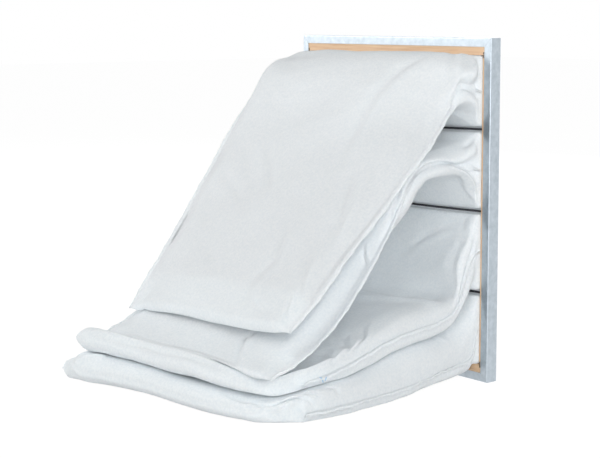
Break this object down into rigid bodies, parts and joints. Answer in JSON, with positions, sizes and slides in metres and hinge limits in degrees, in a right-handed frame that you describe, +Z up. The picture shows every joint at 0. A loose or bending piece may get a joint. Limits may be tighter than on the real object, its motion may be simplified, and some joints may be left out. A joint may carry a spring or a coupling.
{
  "type": "bag air filter",
  "caption": "Panel-frame bag air filter: steel channel header, wooden battens, steel divider rods and empty white cloth pockets that droop out to the front.",
  "frame": {"origin": "middle of the underside of the bottom rail, halfway through the frame's depth", "axes": "+X across the frame to the right as seen from the pockets' side, -Y the way the air leaves and the pockets hang, +Z up"},
  "size_m": [0.5201, 0.5672, 0.592],
  "materials": {
    "galvanised_steel": "galvanised sheet, dull bright, faint spangle",
    "pine": "sawn pine, bare, pinkish grain",
    "rod_steel": "dark drawn wire",
    "filter_cloth": "soft white needled non-woven, matte",
    "staple_wire": "dull wire"
  },
  "bodies": {
    "root": {"top_rail": "galvanised_steel", "bottom_rail": "galvanised_steel", "left_rail": "galvanised_steel", "right_rail": "galvanised_steel", "top_batten": "pine", "bottom_batten": "pine", "left_batten": "pine", "right_batten": "pine", "divider_rod_1": "rod_steel", "divider_rod_2": "rod_steel", "divider_rod_3": "rod_steel", "joining_strip_1": "filter_cloth", "joining_strip_2": "filter_cloth", "joining_strip_3": "filter_cloth", "pocket_1": "filter_cloth", "pocket_2": "filter_cloth", "pocket_3": "filter_cloth", "pocket_4": "filter_cloth", "corner_staple_top_left": "staple_wire", "corner_staple_top_right": "staple_wire", "corner_staple_bottom_left": "staple_wire", "corner_staple_bottom_right": "staple_wire"}
  },
  "joints": []
}
